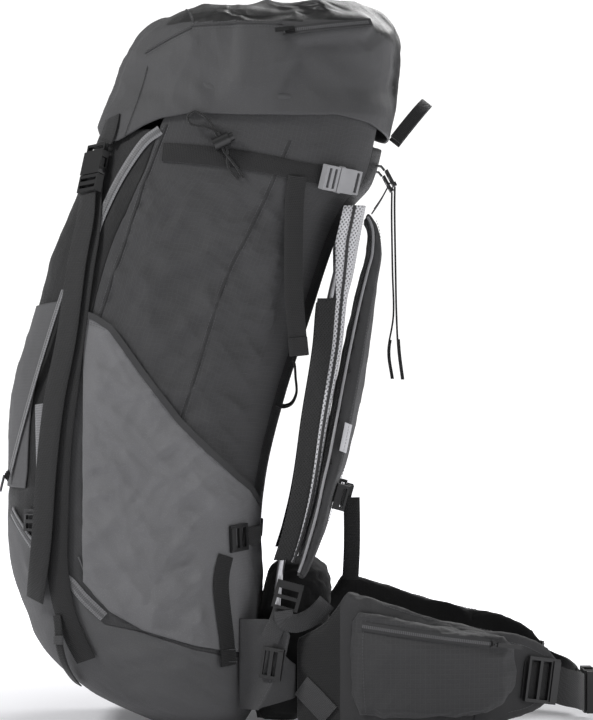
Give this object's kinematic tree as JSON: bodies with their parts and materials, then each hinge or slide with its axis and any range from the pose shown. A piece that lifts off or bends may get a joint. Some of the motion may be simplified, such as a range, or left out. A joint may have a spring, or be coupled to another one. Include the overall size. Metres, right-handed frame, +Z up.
{
  "type": "hiking backpack",
  "caption": "Trekking pack with a floating lid, sprung mesh back, harness and hip belt, standing upright on its base.",
  "frame": {"origin": "centre of the flat patch the pack stands on, under the sack", "axes": "+X the way the wearer faces, +Y the wearer's left, +Z up"},
  "size_m": [0.6538, 0.3642, 0.8],
  "materials": {
    "ripstop": "woven nylon ripstop, charcoal, matt with a slight sheen",
    "grey_twill": "woven polyester, mid grey, matt",
    "lining": "thin coated nylon, black",
    "pale_tape": "pale grey zip tape",
    "webbing": "black woven webbing",
    "grey_webbing": "dark grey woven webbing",
    "grey_plastic": "satin grey moulded acetal",
    "black_plastic": "satin black moulded acetal",
    "aluminium": "satin bare rod",
    "padded_black": "closed foam under charcoal nylon",
    "foam": "closed foam under black mesh",
    "mesh": "open spacer mesh, near white",
    "cord": "black elastic cord"
  },
  "bodies": {
    "pack": {"front_panel": "ripstop", "side_panels": "ripstop", "rear_panel": "lining", "base_panel": "grey_twill", "collar": "lining", "side_pockets": "grey_twill", "front_pocket": "grey_twill", "pack_zips": "pale_tape", "lid_strap_webbing": "webbing", "gear_loops": "webbing", "compression_webbing": "webbing", "compression_sockets": "grey_plastic", "frame_rod": "aluminium", "frame_sleeves": "padded_black", "back_mesh": "mesh", "lumbar_pad": "foam", "harness_webbing": "grey_webbing", "ladder_locks": "black_plastic", "belt_wings": "grey_twill", "pack_cords": "cord", "cord_lock": "black_plastic"},
    "cord_lock_button": {"cord_lock_button": "black_plastic"},
    "lid": {"lid_shell": "ripstop", "lid_zip": "pale_tape", "lid_sockets": "black_plastic"},
    "lid_zip_slider": {"lid_zip_slider": "black_plastic"},
    "haul_loop": {"haul_loop": "webbing"},
    "lid_plug_right": {"lid_plug_right": "black_plastic", "lid_tail_right": "webbing"},
    "side_plug_right": {"side_plug_right": "grey_plastic", "side_tail_right": "webbing"},
    "shoulder_right": {"shoulder_pad_right": "padded_black"},
    "lifter_tail_right": {"lifter_tail_right": "webbing"},
    "sternum_right": {"sternum_slider_right": "black_plastic", "sternum_webbing_right": "webbing", "sternum_socket": "black_plastic"},
    "hip_fin_right": {"hip_fin_right": "padded_black", "belt_pocket_right": "ripstop", "belt_webbing_right": "webbing", "belt_socket": "black_plastic"},
    "belt_zip_slider_right": {"belt_zip_slider_right": "black_plastic"},
    "belt_lock_right": {"belt_lock_right": "black_plastic"},
    "front_zip_slider_right": {"front_zip_slider_right": "black_plastic"},
    "lid_plug_left": {"lid_plug_left": "black_plastic", "lid_tail_left": "webbing"},
    "side_plug_left": {"side_plug_left": "grey_plastic", "side_tail_left": "webbing"},
    "shoulder_left": {"shoulder_pad_left": "padded_black"},
    "lifter_tail_left": {"lifter_tail_left": "webbing"},
    "sternum_left": {"sternum_slider_left": "black_plastic", "sternum_webbing_left": "webbing"},
    "hip_fin_left": {"hip_fin_left": "padded_black", "belt_pocket_left": "ripstop", "belt_webbing_left": "webbing"},
    "belt_zip_slider_left": {"belt_zip_slider_left": "black_plastic"},
    "belt_lock_left": {"belt_lock_left": "black_plastic"},
    "front_zip_slider_left": {"front_zip_slider_left": "black_plastic"},
    "sternum_plug": {"sternum_plug": "black_plastic"},
    "belt_plug": {"belt_plug": "black_plastic"}
  },
  "joints": [
    {"name": "lid_hinge", "type": "hinge", "parent": "pack", "child": "lid", "pos_m": [0.228, 0, 0.641], "axis": [0, 1, 0], "range_deg": [0, 105]},
    {"name": "haul_loop_hinge", "type": "hinge", "parent": "pack", "child": "haul_loop", "pos_m": [0.228, 0, 0.641], "axis": [0, 1, 0], "range_deg": [0, 105]},
    {"name": "lid_zip_run", "type": "hinge", "parent": "lid", "child": "lid_zip_slider", "pos_m": [0.11008, 0.04014, 0.75799], "axis": [-0.1268, -0.0306, 0.9915], "range_deg": [0, 25]},
    {"name": "lid_plug_right_release", "type": "slide", "parent": "pack", "child": "lid_plug_right", "axis": [-0.1809, -0.2558, -0.9497], "range_m": [0, 0.024]},
    {"name": "side_plug_right_release", "type": "slide", "parent": "pack", "child": "side_plug_right", "axis": [-0.7439, -0.6606, 0.1009], "range_m": [0, 0.022]},
    {"name": "shoulder_swing_right", "type": "hinge", "parent": "pack", "child": "shoulder_right", "pos_m": [0.1935, -0.05, 0.56], "axis": [0, -1, 0], "range_deg": [0, 22]},
    {"name": "lifter_tail_right_swing", "type": "hinge", "parent": "pack", "child": "lifter_tail_right", "pos_m": [0.2272, -0.052, 0.5885], "axis": [0, -1, 0], "range_deg": [0, 22]},
    {"name": "sternum_height_right", "type": "slide", "parent": "shoulder_right", "child": "sternum_right", "axis": [0.27, 0, 0.9629], "range_m": [-0.03, 0.03]},
    {"name": "hip_fin_right_swing", "type": "hinge", "parent": "pack", "child": "hip_fin_right", "pos_m": [0.1176, -0.12, 0.06], "axis": [0, 0, -1], "range_deg": [0, 35]},
    {"name": "belt_lock_right_tilt", "type": "hinge", "parent": "hip_fin_right", "child": "belt_lock_right", "pos_m": [0.3617, -0.1319, 0.058], "axis": [0, 0, -1], "range_deg": [0, 25]},
    {"name": "belt_zip_right_run", "type": "hinge", "parent": "hip_fin_right", "child": "belt_zip_slider_right", "pos_m": [0.255, 0.01, 0.10835], "axis": [-0.1367, 0, -0.9906], "range_deg": [0, 42]},
    {"name": "front_zip_right_run", "type": "hinge", "parent": "pack", "child": "front_zip_slider_right", "pos_m": [-0.13584, 0.20639, 0.41488], "axis": [-0.9543, 0.0433, 0.2956], "range_deg": [0, 35]},
    {"name": "lid_plug_left_release", "type": "slide", "parent": "pack", "child": "lid_plug_left", "axis": [-0.1809, 0.2558, -0.9497], "range_m": [0, 0.024]},
    {"name": "side_plug_left_release", "type": "slide", "parent": "pack", "child": "side_plug_left", "axis": [-0.7439, 0.6606, 0.1009], "range_m": [0, 0.022]},
    {"name": "shoulder_swing_left", "type": "hinge", "parent": "pack", "child": "shoulder_left", "pos_m": [0.1935, 0.05, 0.56], "axis": [0, -1, 0], "range_deg": [0, 22]},
    {"name": "lifter_tail_left_swing", "type": "hinge", "parent": "pack", "child": "lifter_tail_left", "pos_m": [0.2272, 0.052, 0.5885], "axis": [0, -1, 0], "range_deg": [0, 22]},
    {"name": "sternum_height_left", "type": "slide", "parent": "shoulder_left", "child": "sternum_left", "axis": [0.27, 0, 0.9629], "range_m": [-0.03, 0.03]},
    {"name": "hip_fin_left_swing", "type": "hinge", "parent": "pack", "child": "hip_fin_left", "pos_m": [0.1176, 0.12, 0.06], "axis": [0, 0, 1], "range_deg": [0, 35]},
    {"name": "belt_lock_left_tilt", "type": "hinge", "parent": "hip_fin_left", "child": "belt_lock_left", "pos_m": [0.3617, 0.1319, 0.058], "axis": [0, 0, 1], "range_deg": [0, 25]},
    {"name": "belt_zip_left_run", "type": "hinge", "parent": "hip_fin_left", "child": "belt_zip_slider_left", "pos_m": [0.255, -0.01, 0.10835], "axis": [0.1367, 0, 0.9906], "range_deg": [0, 42]},
    {"name": "front_zip_left_run", "type": "hinge", "parent": "pack", "child": "front_zip_slider_left", "pos_m": [-0.13584, -0.20639, 0.41488], "axis": [0.9543, 0.0433, -0.2956], "range_deg": [0, 35]},
    {"name": "sternum_plug_release", "type": "slide", "parent": "sternum_left", "child": "sternum_plug", "axis": [0, 1, 0], "range_m": [0, 0.022]},
    {"name": "belt_plug_release", "type": "slide", "parent": "hip_fin_left", "child": "belt_plug", "axis": [0, 1, 0], "range_m": [0, 0.03]},
    {"name": "cord_lock_press", "type": "slide", "parent": "pack", "child": "cord_lock_button", "axis": [-0.9065, -0.0299, -0.4212], "range_m": [0, 0.003], "stiffness_N_per_m": 300, "springref_m": -0.002}
  ],
  "couplings": [
    {"joint": "haul_loop_hinge", "follows": "lid_hinge", "ratio": 1},
    {"joint": "shoulder_swing_left", "follows": "shoulder_swing_right", "ratio": 1},
    {"joint": "lifter_tail_right_swing", "follows": "shoulder_swing_right", "ratio": 1},
    {"joint": "lifter_tail_left_swing", "follows": "shoulder_swing_right", "ratio": 1},
    {"joint": "sternum_height_left", "follows": "sternum_height_right", "ratio": 1}
  ]
}
